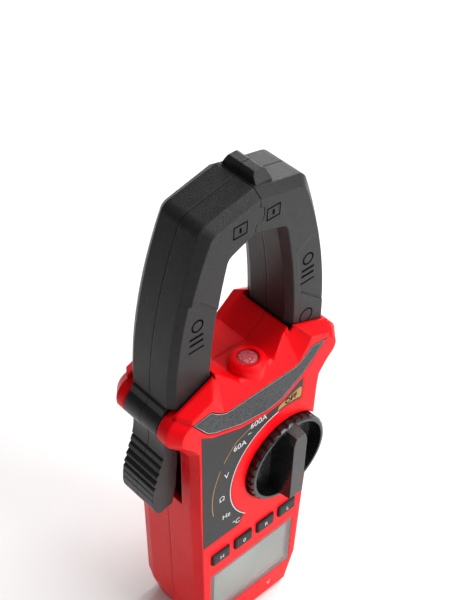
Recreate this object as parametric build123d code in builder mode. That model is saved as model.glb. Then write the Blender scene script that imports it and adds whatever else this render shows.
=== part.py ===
from build123d import *
import os
from math import cos, hypot, pi, radians, sin

# A hand-held clamp meter, standing on its flat bottom end. Millimetres.
# +X is the meter's right seen from the front, -Y is the front face, +Z runs up along the jaws.
# The parting plane of every moulded shell pair is y = 0, and the base rests on z = 0.

os.makedirs("parts", exist_ok=True)


def save(builder, label):
    """Label a finished piece and write it as one STEP file."""
    builder.part.label = label
    export_step(builder.part, f"parts/{label}.step")


# ------------------------------------------------------------------ driving sizes
TIP_Z = 238.0            # top of the closed jaws at the seam
FRONT = 19.3             # front face of the case, ahead of the parting plane
BACK = 18.7              # rear face of the case, behind the parting plane
WALL = 2.2               # moulded wall of the case
GAP = 0.3                # clearance between parts that move apart

# jaws
JAW_HALF = 13.0          # half thickness of a jaw
JAW_WALL = 2.0
ROOF_X, ROOF_Z = 24.8, 232.7          # outer shoulder of the jaw, where roof meets arm
ARM_MID = (36.3, 195.0)
ARM_LOW = (40.3, 156.2)
PEAK_Z = 220.3                        # inside apex of the window
SILL_X, SILL_Z = 12.5, 214.4          # inside shoulder of the window
INNER_MID = (18.1, 187.0)
INNER_LOW = (20.1, 158.0)
JAW_BEVEL = 3.6          # depth of the bevels that run round both faces of a jaw
JAW_INSET_OUT = 2.7
JAW_INSET_IN = 1.8
SHOULDER_R = 6.0
WINDOW_R = 3.5
# interlocking seam, read down the front face
SEAM = [(0.0, TIP_Z), (0.0, 232.8), (-0.3, 232.2), (2.0, 230.6), (2.1, 227.2),
        (1.1, 225.2), (-0.9, 224.8), (-1.8, 223.6), (-1.8, PEAK_Z - 0.85)]
SEAM_GAP = 0.12
PARTING = 0.1            # each shell of a jaw stops this far from the parting plane

# hinge of the moving jaw, inside the left shoulder knuckle
PIVOT_X, PIVOT_Z = -37.0, 146.0
KNUCKLE_R = 8.2
PIN_R = 2.0
LEVER_HALF = 9.2         # half width of the hub and trigger

# case outline, right half, seen from the front
FLOOR_Z, FLOOR_X = 153.8, 8.66        # flat sill between the jaws
COLLAR_IN = (20.4, 163.4)
COLLAR_OUT = (39.9, 155.4)
WAIST = [(36.8, 133.8), (33.8, 129.3), (33.2, 122.0), (32.6, 96.0), (30.6, 60.0), (29.0, 16.0)]
FOOT_X = 24.0

# rotary dial, set off to the right so that its rim stands out of the case side
DIAL_X, DIAL_Z = 15.0, 96.5
DIAL_R = 21.0
WELL_R = 21.6
WELL_FLOOR = 12.2        # depth plane of the well, ahead of the parting plane
DIAL_FACE = 22.9
GRIP_FACE = 28.4

# display and keys
LCD_Z, LCD_HALF_W, LCD_HALF_H = 31.0, 22.0, 13.0
LCD_RIM = 2.4            # ledge the window is glued to
KEY_Z = 58.0
KEY_XS = {"hold_key": -19.5, "zero_key": -6.5, "range_key": 6.5, "light_key": 19.5}
KEY_W, KEY_H = 9.6, 6.0
KEY_TRAVEL = 0.8

# test-lead sockets in the bottom end
JACK_X, JACK_Y = 12.0, -5.0
JACK_LEN = 18.0
SOCKET_R = 2.05

# warning lamp on the sill between the jaws
LAMP_Y = -10.4
LAMP_R = 4.4


# ------------------------------------------------------------------ jaws
def jaw_face(side, out, inn, seam, root, level):
    """Front outline of one jaw, drawn on the plane level millimetres ahead of the parting plane.
    The outside is pulled in by out and the window side by inn; seam runs down the closing face,
    root runs from the inner wall round to the outer wall inside the case."""
    crown = (side * (ROOF_X - out), ROOF_Z - out)
    sill = (side * (SILL_X + inn), SILL_Z + inn)
    inner_low = (side * (INNER_LOW[0] + inn), INNER_LOW[1])
    outer_low = (side * (ARM_LOW[0] - out), ARM_LOW[1])
    top = (seam[0][0], TIP_Z - out)
    foot = (seam[-1][0], PEAK_Z + inn - 0.47 * abs(seam[-1][0]))
    with BuildSketch(Plane.XZ.offset(level)) as outline:
        with BuildLine():
            Polyline(top, *seam[1:-1], foot)
            Line(foot, sill)
            ThreePointArc(sill, (side * (INNER_MID[0] + inn), INNER_MID[1]), inner_low)
            Polyline(inner_low, *root, outer_low)
            ThreePointArc(outer_low, (side * (ARM_MID[0] - out), ARM_MID[1]), crown)
            Line(crown, top)
        make_face()
        corner = outline.vertices().sort_by_distance((crown[0], crown[1], 0))[0]
        fillet(corner, SHOULDER_R - out / 2)
        corner = outline.vertices().sort_by_distance((sill[0], sill[1], 0))[0]
        fillet(corner, WINDOW_R + inn / 2)
    return outline.sketch


def jaw_seam(side):
    """The interlocking closing line, moved half the seam gap to its own side."""
    return [(x + side * SEAM_GAP, z) for x, z in SEAM]


def jaw_end(side, back):
    """A straight closing line, set back from the seam, for hollows and cores."""
    x = side * (2.4 + back)
    return [(x, TIP_Z), (x, 229.0), (x, PEAK_Z)]


FIXED_ROOT = [(20.6, 142.0), (38.4, 142.0)]
MOVING_ROOT = [(-20.6, 151.8), (-30.0, 151.8), (-33.2, 154.3), (-37.2, 155.0)]
FIXED_ROOT_IN = [(23.0, 144.2), (36.2, 144.2)]
MOVING_ROOT_IN = [(-23.0, 154.0), (-30.0, 154.0), (-33.0, 156.0), (-37.0, 156.1)]


def jaw_shell(side, front):
    """One moulded half of a jaw: bevelled outside, hollow inside, open at the parting plane."""
    toward = 1 if front else -1
    root, root_in = (FIXED_ROOT, FIXED_ROOT_IN) if side > 0 else (MOVING_ROOT, MOVING_ROOT_IN)
    seam = jaw_seam(side)
    shoulder = JAW_HALF - JAW_BEVEL
    hollow = jaw_face(side, JAW_WALL, JAW_WALL, jaw_end(side, 0.0), root_in, 0.0)
    with BuildPart() as shell:
        extrude(jaw_face(side, 0.0, 0.0, seam, root, toward * PARTING), amount=toward * (shoulder - PARTING))
        loft([jaw_face(side, 0.0, 0.0, seam, root, toward * shoulder).face(),
              jaw_face(side, JAW_INSET_OUT, JAW_INSET_IN, seam, root, toward * JAW_HALF).face()], ruled=True)
        extrude(hollow, amount=toward * (JAW_HALF - JAW_WALL), mode=Mode.SUBTRACT)
    return shell


def hook_block(toward):
    """Half of the hook block on top of the fixed jaw, beside the seam, with sloping ends."""
    with BuildPart() as block:
        with BuildSketch(Plane.XZ.offset(toward * 0.12)):
            with BuildLine():
                Polyline((1.4, 235.2), (1.7, 240.6), (2.6, 242.0), (6.4, 242.0), (7.6, 241.2),
                         (10.2, 234.4), close=True)
            make_face()
        extrude(amount=toward * 8.6)
        with BuildSketch(Plane.YZ):
            with BuildLine():
                Polyline((-toward * 6.2, 242.6), (-toward * 9.4, 236.2), (-toward * 9.4, 242.6), close=True)
            make_face()
        extrude(amount=12, mode=Mode.SUBTRACT)
    return block.part


# lowered areas of the two front faces, each ending in a slanting step
STEP_DEPTH = 0.7
STEP_AREAS = {-1: [(-27.4, 203.8), (-20.4, 197.0), (-14.0, 190.0), (-14.0, 155.0), (-45.0, 155.0), (-45.0, 203.8)],
              1: [(28.1, 203.8), (20.6, 198.6), (22.1, 194.5), (24.4, 177.8), (34.6, 168.8), (45.0, 160.0),
                  (45.0, 203.8)]}

for side_name, side in (("moving", -1), ("fixed", 1)):
    for half_name, front in (("front", True), ("rear", False)):
        with BuildPart() as jaw_half:
            add(jaw_shell(side, front).part)
            if side > 0:
                add(hook_block(1 if front else -1))
            if front:
                with BuildSketch(Plane.XZ.offset(JAW_HALF - STEP_DEPTH)):
                    Polygon(*STEP_AREAS[side], align=None)
                extrude(amount=3, mode=Mode.SUBTRACT)
        save(jaw_half, f"{side_name}_jaw_{half_name}")


# ------------------------------------------------------------------ magnetic cores and coils
CORE_HALF = 6.0
CORE_INSET = 4.6
COIL_LOW, COIL_HIGH = 172.0, 204.0
CORE_ROOTS = {1: [(25.4, 147.0), (34.0, 147.0)], -1: [(-24.8, 157.4), (-35.2, 157.4)]}

for side_name, side in (("moving", -1), ("fixed", 1)):
    end = jaw_end(side, 0.2)
    core_outline = jaw_face(side, CORE_INSET, CORE_INSET, end, CORE_ROOTS[side], -CORE_HALF)
    with BuildPart() as core:
        extrude(core_outline, amount=2 * CORE_HALF)
    save(core, f"{side_name}_core")

    coil_outline = jaw_face(side, JAW_WALL + 0.1, JAW_WALL + 0.1, end, CORE_ROOTS[side], -10.8)
    with BuildPart() as coil:
        extrude(coil_outline, amount=21.6)
        with Locations((side * 28, 0, (COIL_LOW + COIL_HIGH) / 2)):
            Box(60, 40, COIL_HIGH - COIL_LOW, mode=Mode.INTERSECT)
        add(core.part, mode=Mode.SUBTRACT)
    save(coil, f"{side_name}_coil")

with BuildPart() as hall_sensor:
    with Locations((29.7, 0, 145.6)):
        Box(6.0, 4.4, 1.6)
save(hall_sensor, "hall_sensor")


# ------------------------------------------------------------------ hinge lever with trigger
TRIGGER_OUT = [(-41.2, 137.6), (-41.4, 132.0), (-43.2, 125.0), (-46.2, 116.5), (-47.4, 108.0),
               (-46.6, 101.0), (-43.6, 97.4)]
TRIGGER_IN = [(-37.6, 98.6), (-35.6, 108.0), (-34.4, 128.0), (-33.0, 134.0), (-28.6, 138.4), (-21.4, 146.0),
              (-21.4, 151.5), (-30.1, 151.5), (-33.4, 154.0), (-37.2, 154.8), (-40.1, 156.0), (-41.0, 155.2)]
RIB_PITCH = 3.5


def knuckle_point(angle, radius=KNUCKLE_R):
    return (PIVOT_X + radius * cos(radians(angle)), PIVOT_Z + radius * sin(radians(angle)))


def lever_face(level):
    """Outline of the lever: hub round the hinge, arm under the jaw, trigger hanging below."""
    with BuildSketch(Plane.XZ.offset(level)) as outline:
        with BuildLine():
            ThreePointArc(knuckle_point(128), knuckle_point(180), knuckle_point(228))
            Line(knuckle_point(228), TRIGGER_OUT[0])
            Spline(*TRIGGER_OUT)
            Polyline(TRIGGER_OUT[-1], *TRIGGER_IN, knuckle_point(128))
        make_face()
    return outline.sketch


for half_name, toward in (("front", 1), ("rear", -1)):
    with BuildPart() as trigger:
        extrude(lever_face(toward * 0.1), amount=toward * (LEVER_HALF - 0.1))
        with Locations(Location((PIVOT_X, 0, PIVOT_Z), (90, 0, 0))):
            Cylinder(PIN_R + 0.05, 40, mode=Mode.SUBTRACT)
            Cylinder(5.4, 5.2, mode=Mode.SUBTRACT)
        for count in range(8):
            z = 104.0 + count * RIB_PITCH
            x = -47.6 + max(0.0, z - 110.0) * 0.31
            with Locations(Location((x - 1.2, 0, z), (0, 45, 0))):
                Box(2.4, 40, 2.4, mode=Mode.SUBTRACT)
    save(trigger, f"trigger_{half_name}")

with BuildPart() as jaw_pivot_pin:
    with Locations(Location((PIVOT_X, 0, PIVOT_Z), (90, 0, 0))):
        Cylinder(PIN_R, 32.0)
save(jaw_pivot_pin, "jaw_pivot_pin")

with BuildPart() as jaw_spring:
    with BuildLine() as coil_path:
        Helix(pitch=1.15, height=3.9, radius=3.7, center=(PIVOT_X, 1.95, PIVOT_Z), direction=(0, -1, 0))
    with BuildSketch(Plane(origin=coil_path.line @ 0, z_dir=coil_path.line % 0)):
        Circle(0.45)
    sweep()
save(jaw_spring, "jaw_spring")


# ------------------------------------------------------------------ shape helpers for the case
def slab(points, near, far, mode=Mode.ADD):
    """Flat piece with an XZ outline, between two depths along Y."""
    with BuildSketch(Plane.XZ.offset(-near)) as outline:
        with BuildLine():
            Polyline(*points, close=True)
        make_face()
    extrude(outline.sketch, amount=near - far, mode=mode)


def block(x_range, y_range, z_range, mode=Mode.ADD):
    middle = [(low + high) / 2 for low, high in (x_range, y_range, z_range)]
    with Locations(tuple(middle)):
        Box(x_range[1] - x_range[0], y_range[1] - y_range[0], z_range[1] - z_range[0], mode=mode)


def drum(x, z, radius, near, far, mode=Mode.ADD):
    """Cylinder along Y."""
    with Locations(Location((x, (near + far) / 2, z), (90, 0, 0))):
        Cylinder(radius, far - near, mode=mode)


def both_sides(half):
    """Closed outline from its right half, listed from the top down."""
    return half + [(-x, z) for x, z in reversed(half)]


CASE_HALF = [(FLOOR_X, FLOOR_Z), COLLAR_IN, COLLAR_OUT, (39.8, 153.7), (42.8, 140.2), *WAIST, (FOOT_X, 0.0)]
CASE_ARC = 3
RIGHT_INSETS = [1.6, 2.8, 3.6, 4.2, 3.3, 2.9, 1.5, 1.3, 1.3, 1.3, 2.0]


def inset_points(scale):
    """Case outline moved inwards edge by edge, by each edge's own bevel width times scale."""
    points = both_sides(CASE_HALF)
    widths = RIGHT_INSETS
    widths = widths + [2.4] + list(reversed(widths)) + [1.6]
    lines = []
    for index, (start, width) in enumerate(zip(points, widths)):
        end = points[(index + 1) % len(points)]
        length = hypot(end[0] - start[0], end[1] - start[1])
        normal = ((end[1] - start[1]) / length, -(end[0] - start[0]) / length)
        base = (start[0] + normal[0] * width * scale, start[1] + normal[1] * width * scale)
        lines.append((base, (end[0] - start[0], end[1] - start[1])))
    moved = []
    for (p, d), (q, e) in zip([lines[-1]] + lines[:-1], lines):
        cross = d[0] * e[1] - d[1] * e[0]
        step = ((q[0] - p[0]) * e[1] - (q[1] - p[1]) * e[0]) / cross
        moved.append((p[0] + d[0] * step, p[1] + d[1] * step))
    return moved


def case_face(level, scale):
    points = inset_points(scale)
    left_arc = len(points) - 2 - CASE_ARC
    reach = 45.2 - 4.2 * scale
    with BuildSketch(Plane.XZ.offset(level)) as outline:
        with BuildLine():
            Polyline(*points[: CASE_ARC + 1])
            ThreePointArc(points[CASE_ARC], (reach, PIVOT_Z), points[CASE_ARC + 1])
            Polyline(*points[CASE_ARC + 1: left_arc + 1])
            ThreePointArc(points[left_arc], (-reach, PIVOT_Z), points[left_arc + 1])
            Polyline(*points[left_arc + 1:], points[0])
        make_face()
    return outline.sketch


# ------------------------------------------------------------------ case shells
BEVEL_FRONT, BEVEL_REAR = 14.5, 14.0
HOLLOW = [(30.8, 126.0), (30.2, 96.0), (28.2, 60.0), (26.6, 17.0), (22.6, WALL)]
SWEEP_HALF = 9.6         # half width of the slot the lever swings in
POCKET_HALF = JAW_HALF + 0.25
MOVING_POCKET = [(-19.2, 151.2), (-30.2, 151.2), (-33.5, 153.3), (-36.0, 154.1), (-38.0, 154.1), (-40.2, 153.2),
                 (-50.0, 153.2), (-50.0, 175.0), (-19.2, 175.0)]
FIXED_POCKET = [(20.2, 141.9), (38.8, 141.9), (40.7, 155.0), (46.0, 155.0), (46.0, 175.0), (19.2, 175.0),
                (19.2, 161.0)]
SCREW_PLACES = [(-13.5, 136.0), (13.5, 136.0), (-21.0, 9.0), (21.0, 9.0)]
SCREW_R = 1.5
BAY_X, BAY_LOW, BAY_HIGH = 18.9, 20.0, 68.8      # battery bay
DOOR_X, DOOR_LOW, DOOR_HIGH = 24.0, 14.0, 78.0
DOOR_SCREW_Z = 73.6
LAMP_BASE_R = 8.0

LABEL = [(35.4, 151.4), (26.5, 152.5), (22.6, 149.0), (18.4, 146.7), (-18.4, 146.7), (-22.6, 149.0),
         (-26.5, 152.5), (-36.2, 151.6), (-32.4, 146.4), (-28.6, 141.4), (-24.6, 138.8), (-10.6, 133.6),
         (3.4, 131.2), (11.6, 132.4), (22.4, 138.8), (27.6, 143.4)]
PANEL = [(-31.4, 141.4), (-29.0, 139.6), (-25.4, 137.2), (-11.0, 131.9), (3.3, 129.5), (11.9, 130.8),
         (23.6, 137.6), (23.2, 124.6), (14.0, 105.0), (-6.0, 76.0), (-9.6, 70.0), (-29.4, 70.0)]
PANEL_ARC = 29.6
DECK = 0.6               # thickness of the set-in plates


def hollow_out(near, shrink, mode=Mode.SUBTRACT):
    """Clear the inside of a case shell from the parting plane to one depth."""
    slab(both_sides([(x - shrink, max(z, WALL + shrink)) for x, z in HOLLOW]), min(near, 0), max(near, 0), mode)


def lever_room():
    """Pockets for both jaw roots, the hinge hub, the swinging lever and its pin."""
    slab(MOVING_POCKET, -POCKET_HALF, POCKET_HALF, Mode.SUBTRACT)
    slab(FIXED_POCKET, -POCKET_HALF, POCKET_HALF, Mode.SUBTRACT)
    block((-60, -19.2), (-SWEEP_HALF, SWEEP_HALF), (94.0, 175.0), Mode.SUBTRACT)
    block((22.6, 29.6), (-7.0, 7.0), (120.0, 142.5), Mode.SUBTRACT)
    drum(PIVOT_X, PIVOT_Z, PIN_R, -16.2, 16.2, Mode.SUBTRACT)


def throat_slope():
    """Sloping front lip of the throat, between the collars."""
    with BuildSketch(Plane.XZ.offset(FRONT + 0.1)) as lip:
        Polygon((-20, 147.4), (20, 147.4), (26, 156.4), (26, 175), (-26, 175), (-26, 156.4), align=None)
    with BuildSketch(Plane.XZ.offset(11.9)) as crest:
        Polygon((-17, 161.5), (17, 161.5), (19.6, 163.6), (19.6, 175), (-19.6, 175), (-19.6, 163.6), align=None)
    loft([lip.sketch.face(), crest.sketch.face()], ruled=True, mode=Mode.SUBTRACT)


with BuildPart() as dome:
    with Locations((0, LAMP_Y, 147.0)):
        Cylinder(LAMP_BASE_R - 0.4, 10.6, align=(Align.CENTER, Align.CENTER, Align.MIN))
    fillet(dome.faces().sort_by(Axis.Z)[-1].edges(), 2.2)

with BuildPart() as front_case:
    extrude(case_face(0, 0), amount=BEVEL_FRONT)
    loft([case_face(BEVEL_FRONT, 0).face(), case_face(FRONT, 1).face()], ruled=True)
    hollow_out(-BEVEL_FRONT + 0.5, 0)
    hollow_out(-FRONT + 2.3, 2.2)
    # neck between the two jaw roots, open towards the board
    block((-16.0, 16.0), (-15.0, 0.0), (120.0, 143.0), Mode.SUBTRACT)
    throat_slope()
    # dome that carries the voltage-sensing lamp
    add(dome.part)
    with Locations((0, LAMP_Y, 150.5)):
        Cylinder(LAMP_R + 0.05, 15.1, mode=Mode.SUBTRACT)
    # screw posts, well wall and battery-side walls
    for x, z in SCREW_PLACES:
        drum(x, z, 3.4, -17.0, 0.0)
        drum(x, z, SCREW_R + 0.02, -10.0, 0.0, Mode.SUBTRACT)
    drum(DIAL_X, DIAL_Z, WELL_R + 1.9, -17.6, -WELL_FLOOR + 1.8)
    drum(DIAL_X, DIAL_Z, WELL_R, -FRONT - 10, -WELL_FLOOR, Mode.SUBTRACT)
    drum(DIAL_X, DIAL_Z, 6.3, -WELL_FLOOR - 1, -9.0, Mode.SUBTRACT)
    block((32.5, 50.0), (-30.0, 0.0), (60.0, 122.0), Mode.SUBTRACT)
    lever_room()
    # shadow line where the two shells meet
    block((-60.0, 60.0), (-0.14, 0.0), (3.0, 170.0), Mode.SUBTRACT)
    # display, keys and set-in plates
    block((-LCD_HALF_W - LCD_RIM, LCD_HALF_W + LCD_RIM), (-FRONT - 1, -FRONT + 1.3),
          (LCD_Z - LCD_HALF_H - LCD_RIM, LCD_Z + LCD_HALF_H + LCD_RIM), Mode.SUBTRACT)
    block((-LCD_HALF_W, LCD_HALF_W), (-FRONT - 1, -FRONT + 3), (LCD_Z - LCD_HALF_H, LCD_Z + LCD_HALF_H),
          Mode.SUBTRACT)
    for x in KEY_XS.values():
        block((x - KEY_W / 2 - GAP, x + KEY_W / 2 + GAP), (-FRONT - 1, -FRONT + 3),
              (KEY_Z - KEY_H / 2 - GAP, KEY_Z + KEY_H / 2 + GAP), Mode.SUBTRACT)
    slab(LABEL, -FRONT - 1, -FRONT + DECK, Mode.SUBTRACT)
    with BuildSketch(Plane.XZ.offset(FRONT - DECK)):
        Polygon(*PANEL, align=None)
        with Locations((DIAL_X, DIAL_Z)):
            Circle(PANEL_ARC, mode=Mode.SUBTRACT)
    extrude(amount=3, mode=Mode.SUBTRACT)
    # sockets in the bottom end
    for x in (-JACK_X, JACK_X):
        with Locations((x, JACK_Y, 5.0)):
            Cylinder(5.2, 12.0, mode=Mode.SUBTRACT)
save(front_case, "front_case")


with BuildPart() as rear_case:
    extrude(case_face(0, 0), amount=-BEVEL_REAR)
    loft([case_face(-BEVEL_REAR, 0).face(), case_face(-BACK, 1).face()], ruled=True)
    hollow_out(BEVEL_REAR - 0.5, 0)
    hollow_out(BACK - 2.3, 2.2)
    block((-16.0, 16.0), (0.0, 14.0), (120.0, 143.0), Mode.SUBTRACT)
    for x, z in SCREW_PLACES:
        drum(x, z, 3.4, 0.0, 17.0)
        drum(x, z, SCREW_R + 0.1, 0.0, BACK + 1, Mode.SUBTRACT)
        drum(x, z, 2.9, BACK - 2.6, BACK + 1, Mode.SUBTRACT)
    # battery bay with its door ledge and screw boss
    block((-DOOR_X - 1.4, DOOR_X + 1.4), (14.6, 17.0), (DOOR_LOW - 1.4, DOOR_HIGH + 1.4))
    block((-BAY_X - 1.6, BAY_X + 1.6), (3.2, 17.0), (BAY_LOW - 1.6, BAY_HIGH + 1.6))
    block((-5.0, 5.0), (6.0, 17.0), (BAY_HIGH, DOOR_HIGH))
    block((-BAY_X, BAY_X), (4.4, BACK + 1), (BAY_LOW, BAY_HIGH), Mode.SUBTRACT)
    block((-DOOR_X - 0.15, DOOR_X + 0.15), (BACK - 1.8, BACK + 1), (DOOR_LOW - 0.15, DOOR_HIGH + 0.15), Mode.SUBTRACT)
    drum(0, DOOR_SCREW_Z, 1.22, 8.0, 18.0, Mode.SUBTRACT)
    lever_room()
    for x in (-JACK_X, JACK_X):
        with Locations((x, JACK_Y, 5.0)):
            Cylinder(5.2, 12.0, mode=Mode.SUBTRACT)
save(rear_case, "rear_case")


# ------------------------------------------------------------------ plates set into the front
with BuildPart() as label_band:
    with BuildSketch(Plane.XZ.offset(FRONT - DECK)):
        with BuildSketch(mode=Mode.PRIVATE) as label_outline:
            Polygon(*LABEL, align=None)
        offset(label_outline.sketch, amount=-0.1)
    extrude(amount=DECK)
save(label_band, "label_band")

with BuildPart() as range_panel:
    with BuildSketch(Plane.XZ.offset(FRONT - DECK)):
        with BuildSketch(mode=Mode.PRIVATE) as panel_outline:
            Polygon(*PANEL, align=None)
            with Locations((DIAL_X, DIAL_Z)):
                Circle(PANEL_ARC, mode=Mode.SUBTRACT)
        offset(panel_outline.sketch, amount=-0.1, kind=Kind.INTERSECTION)
    extrude(amount=DECK)
save(range_panel, "range_panel")

with BuildPart() as lcd_window:
    rim = LCD_RIM - 0.1
    block((-LCD_HALF_W - rim, LCD_HALF_W + rim), (-FRONT + 0.1, -FRONT + 1.3),
          (LCD_Z - LCD_HALF_H - rim, LCD_Z + LCD_HALF_H + rim))
save(lcd_window, "lcd_window")

with BuildPart() as lcd_module:
    block((-LCD_HALF_W - 0.8, LCD_HALF_W + 0.8), (-16.9, -14.4), (LCD_Z - LCD_HALF_H - 0.8, LCD_Z + LCD_HALF_H + 0.8))
save(lcd_module, "lcd_module")


# ------------------------------------------------------------------ board and what it carries
BOARD_FRONT, BOARD_BACK = -8.4, -6.8

with BuildPart() as main_board:
    slab([(-16.6, 118.0), (27.6, 118.0), (27.6, 62.0), (25.6, 62.0), (24.8, 23.6), (-24.8, 23.6), (-25.8, 62.0),
          (-25.8, 70.0), (-16.6, 88.0)], BOARD_FRONT, BOARD_BACK)
    drum(DIAL_X, DIAL_Z, 3.2, BOARD_FRONT - 1, BOARD_BACK + 1, Mode.SUBTRACT)
save(main_board, "main_board")

with BuildPart() as board_chips:
    block((-6.0, 6.0), (BOARD_BACK, BOARD_BACK + 1.6), (84.0, 96.0))
    block((-14.0, -8.0), (BOARD_BACK, BOARD_BACK + 1.4), (98.0, 103.0))
    block((10.0, 20.0), (BOARD_BACK, BOARD_BACK + 2.4), (72.0, 78.0))
    block((-12.0, -4.0), (BOARD_BACK, BOARD_BACK + 1.4), (72.0, 77.0))
save(board_chips, "board_chips")

with BuildPart() as buzzer:
    drum(-4.0, 110.0, 5.8, BOARD_BACK, BOARD_BACK + 4.6)
    drum(-4.0, 110.0, 1.0, BOARD_BACK + 3.2, BOARD_BACK + 5, Mode.SUBTRACT)
save(buzzer, "buzzer")

with BuildPart() as ncv_led:
    with Locations((0, LAMP_Y, 146.8)):
        Cylinder(2.5, 5.4)
    with Locations((0, LAMP_Y, 149.5)):
        Sphere(2.5)
save(ncv_led, "ncv_led")

with BuildPart() as ncv_lens:
    with Locations((0, LAMP_Y, 155.4)):
        Cylinder(LAMP_R, 5.0)
        Cone(LAMP_R, 2.6, 1.0, align=(Align.CENTER, Align.CENTER, Align.MIN))
save(ncv_lens, "ncv_lens")


# ------------------------------------------------------------------ keys
for key_name, x in KEY_XS.items():
    with BuildPart() as key:
        block((x - KEY_W / 2, x + KEY_W / 2), (-20.6, -16.4), (KEY_Z - KEY_H / 2, KEY_Z + KEY_H / 2))
        chamfer(key.faces().sort_by(Axis.Y)[0].edges(), 0.5)
        block((x - KEY_W / 2 - 1.2, x + KEY_W / 2 + 1.2), (-16.9, -15.9),
              (KEY_Z - KEY_H / 2 - 1.2, KEY_Z + KEY_H / 2 + 1.2))
    save(key, key_name)

with BuildPart() as key_mat:
    block((-26.4, 26.4), (-14.0, -13.2), (KEY_Z - 6.0, KEY_Z + 6.0))
    for x in KEY_XS.values():
        with BuildSketch(Plane.XZ.offset(14.0)):
            with Locations((x, KEY_Z)):
                Circle(3.2)
        with BuildSketch(Plane.XZ.offset(15.8 - KEY_TRAVEL)):
            with Locations((x, KEY_Z)):
                Circle(1.8)
        loft()
save(key_mat, "key_mat")


# ------------------------------------------------------------------ rotary range selector
NOTCHES = 30

with BuildPart() as rotary_dial:
    drum(DIAL_X, DIAL_Z, DIAL_R, -DIAL_FACE, -WELL_FLOOR - 0.4)
    chamfer(rotary_dial.faces().sort_by(Axis.Y)[0].edges(), 0.9)
    # finger hollows on both sides of the grip bar
    for toward in (-1, 1):
        with BuildSketch(Plane.XZ.offset(16.8)) as hollow:
            with Locations((DIAL_X, DIAL_Z)):
                Circle(17.6)
                with Locations((-toward * 16, 0)):
                    Rectangle(42, 60, mode=Mode.SUBTRACT)
        extrude(hollow.sketch, amount=10, taper=-12, mode=Mode.SUBTRACT)
    # grip bar, drawn to a blunt pointer at the top
    with BuildSketch(Plane.XZ.offset(16.0)) as bar:
        with Locations((DIAL_X, DIAL_Z)):
            Polygon((-5.2, -19.6), (5.2, -19.6), (5.2, 15.0), (3.6, 20.2), (-3.6, 20.2), (-5.2, 15.0), align=None)
    extrude(bar.sketch, amount=GRIP_FACE - 16.0, taper=7)
    # notched rim
    for count in range(NOTCHES):
        angle = 2 * pi * (count + 0.5) / NOTCHES
        drum(DIAL_X + (DIAL_R + 0.5) * sin(angle), DIAL_Z + (DIAL_R + 0.5) * cos(angle), 1.2, -DIAL_FACE - 1,
             -WELL_FLOOR, Mode.SUBTRACT)
    # underside and the boss that takes the rotor
    drum(DIAL_X, DIAL_Z, 19.2, -15.0, -WELL_FLOOR, Mode.SUBTRACT)
    drum(DIAL_X, DIAL_Z, 7.6, -15.2, -WELL_FLOOR - 0.4)
    drum(DIAL_X, DIAL_Z, 2.4, -16.0, -WELL_FLOOR, Mode.SUBTRACT)
    with Locations((DIAL_X, -13.8, DIAL_Z - 5.6)):
        Cylinder(1.3, 5.2, mode=Mode.SUBTRACT)
save(rotary_dial, "rotary_dial")

with BuildPart() as dial_rotor:
    drum(DIAL_X, DIAL_Z, 2.4, -16.0, -WELL_FLOOR - 0.4)
    drum(DIAL_X, DIAL_Z, 6.0, -WELL_FLOOR - 0.4, -9.9)
    drum(DIAL_X, DIAL_Z, 13.0, -10.2, -9.3)
    drum(DIAL_X, DIAL_Z, 3.0, -9.3, -7.2)
save(dial_rotor, "dial_rotor")

with BuildPart() as dial_wiper:
    for count in range(3):
        angle = radians(30 + 120 * count)
        drum(DIAL_X + 10.4 * cos(angle), DIAL_Z + 10.4 * sin(angle), 1.6, -9.3, -8.5)
save(dial_wiper, "dial_wiper")

with BuildPart() as detent_ball:
    with Locations((DIAL_X, -13.8, DIAL_Z - 8.4)):
        Sphere(1.2)
save(detent_ball, "detent_ball")

with BuildPart() as detent_spring:
    with BuildLine() as wire_path:
        Helix(pitch=0.8, height=3.2, radius=0.9, center=(DIAL_X, -13.8, DIAL_Z - 6.9))
    with BuildSketch(Plane(origin=wire_path.line @ 0, z_dir=wire_path.line % 0)):
        Circle(0.2)
    sweep()
save(detent_spring, "detent_spring")


# ------------------------------------------------------------------ test-lead sockets
for socket_name, x in (("common", -JACK_X), ("volt", JACK_X)):
    with BuildPart() as shroud:
        with Locations((x, JACK_Y, 0.3)):
            Cylinder(5.1, 19.7, align=(Align.CENTER, Align.CENTER, Align.MIN))
            Cylinder(3.05, 20.0, align=(Align.CENTER, Align.CENTER, Align.MIN), mode=Mode.SUBTRACT)
    save(shroud, f"{socket_name}_shroud")
    with BuildPart() as socket:
        with Locations((x, JACK_Y, 0.3)):
            Cylinder(3.0, JACK_LEN + 2.0, align=(Align.CENTER, Align.CENTER, Align.MIN))
            Cylinder(SOCKET_R, JACK_LEN, align=(Align.CENTER, Align.CENTER, Align.MIN), mode=Mode.SUBTRACT)
    save(socket, f"{socket_name}_socket")


# ------------------------------------------------------------------ power supply
CELL_R, CELL_LEN, CELL_Y = 5.2, 44.2, 10.0
CELL_XS = (-12.0, 0.0, 12.0)
CELL_LOW = 22.2

with BuildPart() as battery_cells:
    for x in CELL_XS:
        with Locations((x, CELL_Y, CELL_LOW)):
            Cylinder(CELL_R, CELL_LEN - 0.9, align=(Align.CENTER, Align.CENTER, Align.MIN))
        with Locations((x, CELL_Y, CELL_LOW + CELL_LEN - 0.9)):
            Cylinder(1.9, 0.9, align=(Align.CENTER, Align.CENTER, Align.MIN))
save(battery_cells, "battery_cells")

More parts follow.
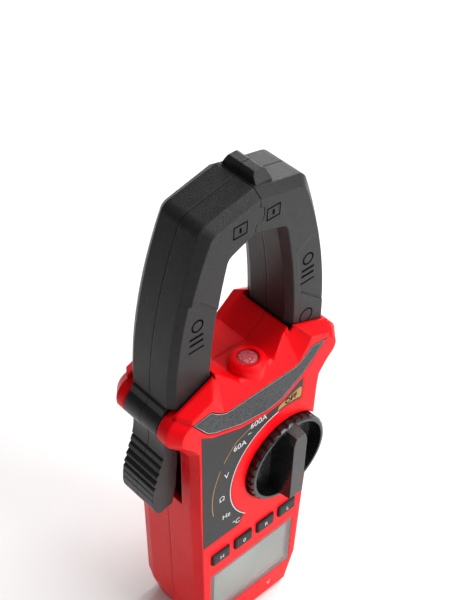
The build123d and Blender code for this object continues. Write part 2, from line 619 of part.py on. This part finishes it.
with BuildPart() as battery_contacts:
    for x in CELL_XS:
        block((x - 4.4, x + 4.4), (CELL_Y - 4.4, CELL_Y + 4.4), (BAY_LOW + 0.1, BAY_LOW + 0.6))
        with Locations((x, CELL_Y, BAY_LOW + 0.6)):
            Cone(2.8, 1.6, 1.5, align=(Align.CENTER, Align.CENTER, Align.MIN))
        block((x - 4.4, x + 4.4), (CELL_Y - 4.4, CELL_Y + 4.4), (BAY_HIGH - 0.6, BAY_HIGH - 0.1))
save(battery_contacts, "battery_contacts")

with BuildPart() as battery_door:
    block((-DOOR_X, DOOR_X), (BACK - 1.75, BACK), (DOOR_LOW, DOOR_HIGH))
    block((-BAY_X + 0.3, BAY_X - 0.3), (15.5, BACK - 1.75), (BAY_LOW + 0.3, BAY_HIGH - 0.3))
    for count in range(5):
        block((-9.0, 9.0), (BACK - 0.5, BACK + 1), (21.0 + 2.4 * count, 22.2 + 2.4 * count), Mode.SUBTRACT)
    drum(0, DOOR_SCREW_Z, 1.4, 15.0, BACK + 1, Mode.SUBTRACT)
    drum(0, DOOR_SCREW_Z, 2.7, BACK - 1.3, BACK + 1, Mode.SUBTRACT)
save(battery_door, "battery_door")

with BuildPart() as door_screw:
    drum(0, DOOR_SCREW_Z, 2.6, BACK - 1.3, BACK - 0.2)
    drum(0, DOOR_SCREW_Z, 1.2, 9.0, BACK - 1.3)
    block((-2.2, 2.2), (BACK - 0.7, BACK), (DOOR_SCREW_Z - 0.35, DOOR_SCREW_Z + 0.35), Mode.SUBTRACT)
save(door_screw, "door_screw")

with BuildPart() as case_screws:
    for x, z in SCREW_PLACES:
        drum(x, z, 2.8, BACK - 2.6, BACK - 0.6)
        drum(x, z, SCREW_R, -9.0, BACK - 2.6)
        block((x - 2.2, x + 2.2), (BACK - 1.3, BACK), (z - 0.4, z + 0.4), Mode.SUBTRACT)
        block((x - 0.4, x + 0.4), (BACK - 1.3, BACK), (z - 2.2, z + 2.2), Mode.SUBTRACT)
save(case_screws, "case_screws")
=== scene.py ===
import bpy, bmesh
from math import cos, radians, sin
from mathutils import Matrix, Vector


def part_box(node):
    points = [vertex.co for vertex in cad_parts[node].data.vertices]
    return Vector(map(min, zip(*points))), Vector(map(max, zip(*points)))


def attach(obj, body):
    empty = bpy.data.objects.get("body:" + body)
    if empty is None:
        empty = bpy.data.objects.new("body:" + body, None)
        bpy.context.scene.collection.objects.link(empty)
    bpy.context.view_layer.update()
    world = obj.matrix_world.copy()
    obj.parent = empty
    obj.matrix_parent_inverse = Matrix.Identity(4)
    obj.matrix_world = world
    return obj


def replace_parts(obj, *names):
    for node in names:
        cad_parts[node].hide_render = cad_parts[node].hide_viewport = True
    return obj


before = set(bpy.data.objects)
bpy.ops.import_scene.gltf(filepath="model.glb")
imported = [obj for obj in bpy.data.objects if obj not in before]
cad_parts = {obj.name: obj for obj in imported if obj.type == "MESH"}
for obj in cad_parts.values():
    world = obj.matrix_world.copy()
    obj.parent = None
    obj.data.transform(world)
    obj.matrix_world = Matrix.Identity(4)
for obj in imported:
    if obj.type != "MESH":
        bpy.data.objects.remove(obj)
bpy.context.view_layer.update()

# Sizes and places below are in millimetres unless a name says otherwise. X is to the meter's
# right seen from its front, Z is up, and the front faces look along -Y.
MM = 0.001
FRONT = -19.3                 # front face of the case
JAW_FACE = -13.0              # raised front face of the jaws
JAW_STEP = 0.7                # how far the lower part of each jaw face lies behind it
DIAL_X, DIAL_Z = 15.0, 96.5
PRINT_LIFT = 0.02             # how far a print stands clear of the face that it is on
LINE_RISE = 0.05
OUTLINE_RISE = 0.04
LETTER_HALF_DEPTH = 0.03
PRINT = FRONT - PRINT_LIFT


# ------------------------------------------------------------------ materials
def nodes_of(name):
    mat = bpy.data.materials.new(name)
    mat.use_nodes = True
    tree = mat.node_tree
    return mat, tree, tree.nodes["Principled BSDF"]


def noise(tree, coords, scale, detail=4.0, rough=0.55):
    node = tree.nodes.new("ShaderNodeTexNoise")
    node.inputs["Scale"].default_value = scale
    node.inputs["Detail"].default_value = detail
    node.inputs["Roughness"].default_value = rough
    tree.links.new(coords.outputs["Object"], node.inputs["Vector"])
    return node


def ramp(tree, source, stops):
    node = tree.nodes.new("ShaderNodeValToRGB")
    while len(node.color_ramp.elements) < len(stops):
        node.color_ramp.elements.new(0.5)
    for element, (place, colour) in zip(node.color_ramp.elements, stops):
        element.position = place
        element.color = (*colour, 1.0)
    tree.links.new(source, node.inputs["Fac"])
    return node


def remap(tree, source, low, high, from_low=0.3, from_high=0.7):
    node = tree.nodes.new("ShaderNodeMapRange")
    node.inputs["From Min"].default_value = from_low
    node.inputs["From Max"].default_value = from_high
    node.inputs["To Min"].default_value = low
    node.inputs["To Max"].default_value = high
    tree.links.new(source, node.inputs["Value"])
    return node


def moulded(name, dark, light, rough, grain, depth, mottling, edge, metallic=0.0, coat=0.0, specular=0.5):
    """Moulded or machined surface: slow colour drift, fine grain in bump and gloss, eased edges.

    grain and mottling are noise scales; depth (of the grain) and edge (radius) are millimetres."""
    mat, tree, shader = nodes_of(name)
    coords = tree.nodes.new("ShaderNodeTexCoord")
    drift = noise(tree, coords, mottling, detail=3.0)
    fine = noise(tree, coords, grain, detail=2.0, rough=0.6)
    tint = ramp(tree, drift.outputs["Fac"], [(0.3, dark), (0.7, light)])
    tree.links.new(tint.outputs["Color"], shader.inputs["Base Color"])
    gloss = remap(tree, fine.outputs["Fac"], max(rough - 0.07, 0.03), min(rough + 0.09, 1.0))
    tree.links.new(gloss.outputs["Result"], shader.inputs["Roughness"])
    eased = tree.nodes.new("ShaderNodeBevel")
    eased.samples = 4
    eased.inputs["Radius"].default_value = edge * MM
    bump = tree.nodes.new("ShaderNodeBump")
    bump.inputs["Strength"].default_value = 1.0
    bump.inputs["Distance"].default_value = depth * MM
    tree.links.new(fine.outputs["Fac"], bump.inputs["Height"])
    tree.links.new(eased.outputs["Normal"], bump.inputs["Normal"])
    tree.links.new(bump.outputs["Normal"], shader.inputs["Normal"])
    shader.inputs["Metallic"].default_value = metallic
    shader.inputs["Coat Weight"].default_value = coat
    shader.inputs["Coat Roughness"].default_value = 0.18
    shader.inputs["Specular IOR Level"].default_value = specular
    return mat


def clear(name, tint, rough, cell_scale, see_through=0.92):
    """Clear or tinted plastic, with a cell pattern in its bump and tint."""
    mat, tree, shader = nodes_of(name)
    coords = tree.nodes.new("ShaderNodeTexCoord")
    cells = tree.nodes.new("ShaderNodeTexVoronoi")
    cells.inputs["Scale"].default_value = cell_scale
    tree.links.new(coords.outputs["Object"], cells.inputs["Vector"])
    bump = tree.nodes.new("ShaderNodeBump")
    bump.inputs["Distance"].default_value = 0.5 * MM
    bump.inputs["Strength"].default_value = 0.7
    tree.links.new(cells.outputs["Distance"], bump.inputs["Height"])
    tree.links.new(bump.outputs["Normal"], shader.inputs["Normal"])
    shade = ramp(tree, cells.outputs["Distance"], [(0.0, tint), (1.0, tuple(c * 0.75 for c in tint))])
    tree.links.new(shade.outputs["Color"], shader.inputs["Base Color"])
    shader.inputs["Transmission Weight"].default_value = see_through
    shader.inputs["Roughness"].default_value = rough
    shader.inputs["IOR"].default_value = 1.49
    return mat


RED = moulded("case_red", (0.74, 0.0010, 0.004), (0.82, 0.0014, 0.006), rough=0.32,
              grain=2600.0, depth=0.012, mottling=45.0, edge=1.2, specular=0.11)
JAW = moulded("jaw_grey", (0.0085, 0.0085, 0.009), (0.0145, 0.0145, 0.015), rough=0.42,
              grain=1700.0, depth=0.2, mottling=300.0, edge=0.9, specular=0.28)
LABEL = moulded("label_grey", (0.008, 0.009, 0.010), (0.085, 0.09, 0.095), rough=0.5,
                grain=1400.0, depth=0.05, mottling=1900.0, edge=0.1, specular=0.2)
PANEL = moulded("panel_grey", (0.020, 0.021, 0.022), (0.026, 0.027, 0.028), rough=0.48,
                grain=2600.0, depth=0.03, mottling=90.0, edge=0.1, specular=0.25)
LEVER = moulded("lever_black", (0.006, 0.006, 0.007), (0.010, 0.010, 0.011), rough=0.34,
                grain=3000.0, depth=0.03, mottling=80.0, edge=0.6, specular=0.35)
DIAL = moulded("dial_black", (0.005, 0.005, 0.006), (0.009, 0.009, 0.010), rough=0.24,
               grain=2600.0, depth=0.012, mottling=70.0, edge=0.5, coat=0.12, specular=0.4)
RUBBER = moulded("key_rubber", (0.02, 0.02, 0.021), (0.03, 0.03, 0.031), rough=0.6,
                 grain=2500.0, depth=0.04, mottling=120.0, edge=0.4, specular=0.25)
LCD = moulded("lcd_grey", (0.27, 0.31, 0.26), (0.31, 0.35, 0.29), rough=0.45,
              grain=900.0, depth=0.004, mottling=40.0, edge=0.1)
BOARD = moulded("board_green", (0.012, 0.10, 0.04), (0.02, 0.14, 0.06), rough=0.4,
                grain=700.0, depth=0.01, mottling=300.0, edge=0.1)
STEEL = moulded("steel", (0.38, 0.38, 0.39), (0.5, 0.5, 0.51), rough=0.34,
                grain=1500.0, depth=0.01, mottling=200.0, edge=0.15, metallic=1.0)
CORE = moulded("core_steel", (0.2, 0.2, 0.21), (0.3, 0.3, 0.31), rough=0.45,
               grain=2500.0, depth=0.03, mottling=500.0, edge=0.1, metallic=1.0)
COPPER = moulded("coil_copper", (0.5, 0.19, 0.08), (0.62, 0.26, 0.12), rough=0.35,
                 grain=3500.0, depth=0.05, mottling=600.0, edge=0.2, metallic=1.0)
BRASS = moulded("brass", (0.58, 0.40, 0.15), (0.68, 0.48, 0.2), rough=0.28,
                grain=1500.0, depth=0.01, mottling=200.0, edge=0.15, metallic=1.0)
CELL = moulded("cell_body", (0.03, 0.08, 0.2), (0.04, 0.1, 0.25), rough=0.3,
               grain=1500.0, depth=0.01, mottling=90.0, edge=0.3)
SOCKET_RED = moulded("socket_red", (0.5, 0.004, 0.008), (0.6, 0.006, 0.01), rough=0.32,
                     grain=2600.0, depth=0.01, mottling=60.0, edge=0.3)
WHITE = moulded("ink_white", (0.62, 0.62, 0.62), (0.7, 0.7, 0.7), rough=0.5,
                grain=3000.0, depth=0.005, mottling=200.0, edge=0.05)
GOLD = moulded("ink_gold", (0.36, 0.17, 0.025), (0.44, 0.21, 0.035), rough=0.42,
               grain=3000.0, depth=0.005, mottling=200.0, edge=0.05)
INK = moulded("ink_black", (0.0012, 0.0012, 0.0012), (0.0025, 0.0025, 0.0025), rough=0.85,
              grain=3000.0, depth=0.01, mottling=200.0, edge=0.02, specular=0.03)
BLACK = moulded("socket_black", (0.005, 0.005, 0.005), (0.009, 0.009, 0.009), rough=0.4,
                grain=3000.0, depth=0.01, mottling=200.0, edge=0.3)
RIM = moulded("ink_rim", (0.42, 0.30, 0.30), (0.55, 0.45, 0.45), rough=0.5,
              grain=3000.0, depth=0.005, mottling=200.0, edge=0.05)
LENS = clear("lens_clear", (1.0, 0.16, 0.20), rough=0.02, cell_scale=900.0, see_through=0.5)
GLASS = clear("lcd_glass", (0.93, 0.97, 0.95), rough=0.02, cell_scale=40.0)
LED = clear("led_red", (0.9, 0.12, 0.1), rough=0.1, cell_scale=100.0)

SKINS = {
    "front_case": RED, "rear_case": RED, "battery_door": RED,
    "fixed_jaw_front": JAW, "fixed_jaw_rear": JAW, "moving_jaw_front": JAW, "moving_jaw_rear": JAW,
    "label_band": LABEL, "range_panel": PANEL, "trigger_front": LEVER, "trigger_rear": LEVER,
    "rotary_dial": DIAL, "dial_rotor": BLACK, "dial_wiper": BRASS, "detent_ball": STEEL,
    "detent_spring": STEEL,
    "hold_key": RUBBER, "zero_key": RUBBER, "range_key": RUBBER, "light_key": RUBBER, "key_mat": RUBBER,
    "lcd_window": GLASS, "lcd_module": LCD, "main_board": BOARD, "board_chips": BLACK, "buzzer": BLACK,
    "hall_sensor": BLACK, "ncv_led": LED, "ncv_lens": LENS, "fixed_core": CORE, "moving_core": CORE,
    "fixed_coil": COPPER, "moving_coil": COPPER, "jaw_pivot_pin": STEEL, "jaw_spring": STEEL,
    "common_shroud": BLACK, "volt_shroud": SOCKET_RED, "common_socket": BRASS, "volt_socket": BRASS,
    "battery_cells": CELL, "battery_contacts": BRASS, "door_screw": STEEL, "case_screws": STEEL,
}
for node, skin in SKINS.items():
    item = bpy.data.objects[node]
    item.data.materials.clear()
    item.data.materials.append(skin)


# ------------------------------------------------------------------ piece helpers
def piece_from(name, builder_mesh, skin, body="meter"):
    mesh = bpy.data.meshes.new(name)
    builder_mesh.to_mesh(mesh)
    builder_mesh.free()
    mesh.materials.append(skin)
    item = bpy.data.objects.new(name, mesh)
    bpy.context.scene.collection.objects.link(item)
    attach(item, body)
    return item


def strip_on_front(bm, path, width, depth, rise=LINE_RISE, closed=False):
    """Flat raised line on a plane facing the front, following XZ points."""
    count = len(path)
    rings = []
    for index, (x, z) in enumerate(path):
        before = path[index - 1] if closed or index else path[index]
        after = path[(index + 1) % count] if closed or index < count - 1 else path[index]
        along = Vector((after[0] - before[0], after[1] - before[1])).normalized()
        across = Vector((-along.y, along.x)) * width / 2
        rings.append([bm.verts.new(((x + s * across.x) * MM, y * MM, (z + s * across.y) * MM))
                      for s, y in ((-1, depth), (-1, depth - rise), (1, depth - rise), (1, depth))])
    last = count if closed else count - 1
    for index in range(last):
        a, b = rings[index], rings[(index + 1) % count]
        for side in range(4):
            bm.faces.new((a[side], a[(side + 1) % 4], b[(side + 1) % 4], b[side]))
    if not closed:
        bm.faces.new(rings[0])
        bm.faces.new(list(reversed(rings[-1])))
    bmesh.ops.recalc_face_normals(bm, faces=bm.faces)


def arc(cx, cz, radius, start, end, steps=48):
    """Points of an arc between two angles in degrees, counted anticlockwise from +X."""
    return [(cx + radius * cos(radians(start + (end - start) * i / steps)),
             cz + radius * sin(radians(start + (end - start) * i / steps))) for i in range(steps + 1)]


def round_dial(radius, start, end, steps=48):
    return arc(DIAL_X, DIAL_Z, radius, start, end, steps)


def legend(name, text, x, z, size, depth, skin, body="meter", turn=0, weight=0.0):
    """Raised print of one generic legend, facing the front."""
    curve = bpy.data.curves.new(name, "FONT")
    curve.body = text
    curve.size = size * MM
    curve.extrude = LETTER_HALF_DEPTH * MM
    curve.offset = weight * MM
    curve.align_x, curve.align_y = "CENTER", "CENTER"
    curve.materials.append(skin)
    item = bpy.data.objects.new(name, curve)
    item.matrix_world = (Matrix.Translation((x * MM, depth * MM, z * MM))
                         @ Matrix.Rotation(radians(90), 4, "X") @ Matrix.Rotation(radians(turn), 4, "Z"))
    bpy.context.scene.collection.objects.link(item)
    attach(item, body)


# ------------------------------------------------------------------ cut lens of the lamp
FACETS = 12
LENS_FIT = 0.99               # share of the plain lens's radius that the cut one takes
LENS_RINGS = ((0.45, 4.6), (1.0, 5.2), (1.0, 1.1), (0.74, 0.3), (0.40, 0.05))   # share of radius, depth


def cut_lens():
    """Ring over ring of corners, each turned half a facet, with triangles between them."""
    bm = bmesh.new()
    low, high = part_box("ncv_lens")
    middle_y = (low[1] + high[1]) / 2
    radius = (high[0] - low[0]) / 2 * LENS_FIT
    rings = []
    for step, (reach, drop) in enumerate(LENS_RINGS):
        angles = [radians(360 * (i + 0.5 * (step % 2)) / FACETS) for i in range(FACETS)]
        rings.append([bm.verts.new((radius * reach * cos(angle), middle_y + radius * reach * sin(angle),
                                    high[2] - drop * MM)) for angle in angles])
    for step, (a, b) in enumerate(zip(rings, rings[1:])):
        for i in range(FACETS):
            j = (i + 1) % FACETS
            if step % 2:
                bm.faces.new((a[i], a[j], b[j]))
                bm.faces.new((a[i], b[j], b[i]))
            else:
                bm.faces.new((a[i], a[j], b[i]))
                bm.faces.new((a[j], b[j], b[i]))
    bm.faces.new(list(reversed(rings[0])))
    bm.faces.new(rings[-1])
    bmesh.ops.recalc_face_normals(bm, faces=bm.faces)
    return piece_from("cut_lens", bm, LENS)


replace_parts(cut_lens(), "ncv_lens")


# ------------------------------------------------------------------ printing on the front
LABEL_EDGE = [(35.4, 151.4), (26.5, 152.5), (22.6, 149.0), (18.4, 146.7), (-18.4, 146.7), (-22.6, 149.0),
              (-26.5, 152.5), (-36.2, 151.6), (-32.4, 146.4), (-28.6, 141.4), (-24.6, 138.8), (-10.6, 133.6),
              (3.4, 131.2), (11.6, 132.4), (22.4, 138.8), (27.6, 143.4)]
RANGE_ARC_R = 30.1
FUNCTION_ARC_R = 40.0
FUNCTION_LINE = 0.35
BADGE_R = 30.9


def drawn_in(points, amount):
    """Closed outline moved inwards by the same amount all round."""
    moved = []
    for i, here in enumerate(points):
        back, on = Vector(here) - Vector(points[i - 1]), Vector(points[(i + 1) % len(points)]) - Vector(here)
        normals = [Vector((-v.y, v.x)).normalized() for v in (back, on)]
        middle = (normals[0] + normals[1]).normalized()
        reach = amount / max(middle.dot(normals[0]), 0.4)
        moved.append((here[0] + middle.x * reach, here[1] + middle.y * reach))
    return moved


for name, away, width, ink in (("label_line_dark", 0.25, 0.3, INK), ("label_line_pale", 0.6, 0.22, RIM)):
    bm = bmesh.new()
    strip_on_front(bm, drawn_in(LABEL_EDGE, away), width, PRINT, OUTLINE_RISE, closed=True)
    piece_from(name, bm, ink)

bm = bmesh.new()
strip_on_front(bm, round_dial(RANGE_ARC_R, 99, 226), 0.4, PRINT)
piece_from("range_arc", bm, WHITE)

bm = bmesh.new()
lead_in = [(-3.4, 128.3), (-6.0, 128.0), (-8.2, 127.0)]
strip_on_front(bm, lead_in + round_dial(FUNCTION_ARC_R, 134, 149), FUNCTION_LINE, PRINT)
strip_on_front(bm, round_dial(FUNCTION_ARC_R, 154, 192), FUNCTION_LINE, PRINT)
piece_from("function_arcs", bm, GOLD)

# text, angle round the dial, distance from its middle, size
RANGE_MARKS = [("600A", 116.5, 35.6, 4.2), ("~", 126, 35.2, 3.4), ("60A", 136, 35.8, 4.2),
               ("V", 160, 34.6, 4.2), ("Ω", 182, 34.6, 4.2), ("Hz", 204, 34.8, 4.0), ("°C", 222, 34.8, 4.0)]
for text, angle, reach, size in RANGE_MARKS:
    legend(f"mark_{angle:.0f}", text, DIAL_X + reach * cos(radians(angle)),
           DIAL_Z + reach * sin(radians(angle)), size, PRINT, WHITE)
for text, x in (("COM", -12.0), ("V", 12.0)):
    legend(f"socket_mark_{text}", text, x, 8.0, 3.4, PRINT, WHITE)
for key, text in (("hold_key", "H"), ("zero_key", "0"), ("range_key", "R"), ("light_key", "L")):
    low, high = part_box(key)
    legend(f"mark_{key}", text, (low[0] + high[0]) / 2 / MM, (low[2] + high[2]) / 2 / MM, 3.2,
           low[1] / MM - PRINT_LIFT, WHITE, key)


def off_badge():
    """Gold badge of the OFF position, above the dial."""
    bm = bmesh.new()
    outline = round_dial(BADGE_R, 100, 76, 8) + [(22.8, 127.6), (22.9, 131.6), (21.9, 132.6),
                                                 (11.4, 129.6), (10.2, 128.9)]
    low = [bm.verts.new((x * MM, PRINT * MM, z * MM)) for x, z in outline]
    high = [bm.verts.new((x * MM, (PRINT - LINE_RISE) * MM, z * MM)) for x, z in outline]
    bm.faces.new(low)
    bm.faces.new(list(reversed(high)))
    for i in range(len(outline)):
        j = (i + 1) % len(outline)
        bm.faces.new((low[i], high[i], high[j], low[j]))
    bmesh.ops.recalc_face_normals(bm, faces=bm.faces)
    piece_from("off_badge", bm, GOLD)
    legend("mark_off", "OFF", 17.0, 129.15, 3.9, PRINT - 0.06, INK, turn=4, weight=0.12)


off_badge()


# ------------------------------------------------------------------ plain marks on the jaws
FINE_LINE, BOLD_LINE = 0.7, 1.0
FRAME_LOW, FRAME_HIGH = 223.8, 228.8
JAW_PRINT = JAW_FACE - PRINT_LIFT
STEP_PRINT = JAW_PRINT + JAW_STEP


def jaw_marks(name, body, side, left, right):
    """Framed bar near the tip, and on the stepped face a ring over three bars."""
    bm = bmesh.new()
    corners = [(left, FRAME_LOW), (right, FRAME_LOW), (right, FRAME_HIGH), (left, FRAME_HIGH)]
    strip_on_front(bm, corners, FINE_LINE, JAW_PRINT, closed=True)
    middle = (left + right) / 2
    strip_on_front(bm, [(middle, FRAME_LOW + 1.4), (middle, FRAME_HIGH - 1.4)], BOLD_LINE, JAW_PRINT)
    strip_on_front(bm, arc(side * 27.8, 192.4, 2.5, 0, 345, 24), FINE_LINE, STEP_PRINT, closed=True)
    for z, half, width in ((187.2, 3.2, BOLD_LINE), (184.4, 3.2, BOLD_LINE), (181.0, 3.7, FINE_LINE)):
        strip_on_front(bm, [(side * 28.2 - half, z), (side * 28.2 + half, z)], width, STEP_PRINT)
    piece_from(name, bm, INK, body)


jaw_marks("marks_moving", "moving_jaw", -1, -12.2, -6.0)
jaw_marks("marks_fixed", "meter", 1, 3.6, 9.8)
bm = bmesh.new()
strip_on_front(bm, arc(28.6, 163.2, 3.3, 0, 350, 36), 0.6, JAW_PRINT, closed=True)
piece_from("ring_fixed", bm, INK)


# ------------------------------------------------------------------ floor, lights and camera
def pale_floor():
    bm = bmesh.new()
    bmesh.ops.create_grid(bm, x_segments=8, y_segments=8, size=4.0)
    mesh = bpy.data.meshes.new("floor")
    bm.to_mesh(mesh)
    bm.free()
    floor = bpy.data.objects.new("floor", mesh)
    bpy.context.scene.collection.objects.link(floor)
    mat, tree, shader = nodes_of("floor_white")
    coords = tree.nodes.new("ShaderNodeTexCoord")
    drift = noise(tree, coords, 6.0)
    tint = ramp(tree, drift.outputs["Fac"], [(0.3, (0.88,) * 3), (0.7, (0.9,) * 3)])
    tree.links.new(tint.outputs["Color"], shader.inputs["Base Color"])
    shader.inputs["Roughness"].default_value = 0.9
    floor.data.materials.append(mat)
    return floor


def studio_sky():
    """Soft glow that is brightest towards the front right and darkest behind the left side."""
    world = bpy.data.worlds.new("studio")
    bpy.context.scene.world = world
    world.use_nodes = True
    sky = world.node_tree
    direction = sky.nodes.new("ShaderNodeTexCoord")
    facing = sky.nodes.new("ShaderNodeVectorMath")
    facing.operation = "DOT_PRODUCT"
    facing.inputs[1].default_value = (0.62, -0.66, 0.42)
    sky.links.new(direction.outputs["Generated"], facing.inputs[0])
    shift = remap(sky, facing.outputs["Value"], 0.0, 1.0, -1.0, 1.0)
    glow = ramp(sky, shift.outputs["Result"], [(0.0, (0.16,) * 3), (0.5, (0.26,) * 3),
                                                (0.78, (0.5,) * 3), (1.0, (0.95,) * 3)])
    sky.links.new(glow.outputs["Color"], sky.nodes["Background"].inputs["Color"])


def soft_light(name, place, size, power):
    """Square light aimed at the middle of the meter; place and size in metres, power in watts."""
    data = bpy.data.lights.new(name, "AREA")
    data.shape = "SQUARE"
    data.size = size
    data.energy = power
    item = bpy.data.objects.new(name, data)
    item.location = place
    item.rotation_euler = (Vector((0.0, 0.0, 0.16)) - Vector(place)).to_track_quat("-Z", "Y").to_euler()
    bpy.context.scene.collection.objects.link(item)


pale_floor()
studio_sky()
bpy.context.scene.view_settings.view_transform = "Standard"
soft_light("key", (0.35, -0.95, 0.5), 0.5, 7.2)
soft_light("side", (0.95, 0.6, 0.6), 0.6, 5.5)
soft_light("top", (0.5, -0.1, 1.1), 0.5, 9.0)

# The camera stands to the front left and looks down on the jaws.
CAMERA_PLACE = (-245.249, -251.307, 502.433)
TURN, DOWN, ROLL = radians(43.90), radians(42.505), radians(1.799)
SENSOR_MM, FOCAL_MM = 36.0, 76.2702
SHIFT_X, SHIFT_Y = 0.001533, -0.003617
ahead = Vector((sin(TURN) * cos(DOWN), cos(TURN) * cos(DOWN), -sin(DOWN)))
level = Vector((cos(TURN), -sin(TURN), 0.0))
above = level.cross(ahead).normalized()
right = cos(ROLL) * level + sin(ROLL) * above
up = -sin(ROLL) * level + cos(ROLL) * above
camera_data = bpy.data.cameras.new("camera")
camera_data.sensor_width = SENSOR_MM
camera_data.lens = FOCAL_MM
camera_data.shift_x, camera_data.shift_y = SHIFT_X, SHIFT_Y
camera_data.clip_start = 0.01
camera = bpy.data.objects.new("camera", camera_data)
camera.matrix_world = Matrix.Translation(Vector(CAMERA_PLACE) * MM) @ Matrix(
    ((right.x, up.x, -ahead.x), (right.y, up.y, -ahead.y), (right.z, up.z, -ahead.z))).to_4x4()
bpy.context.scene.collection.objects.link(camera)
bpy.context.scene.camera = camera
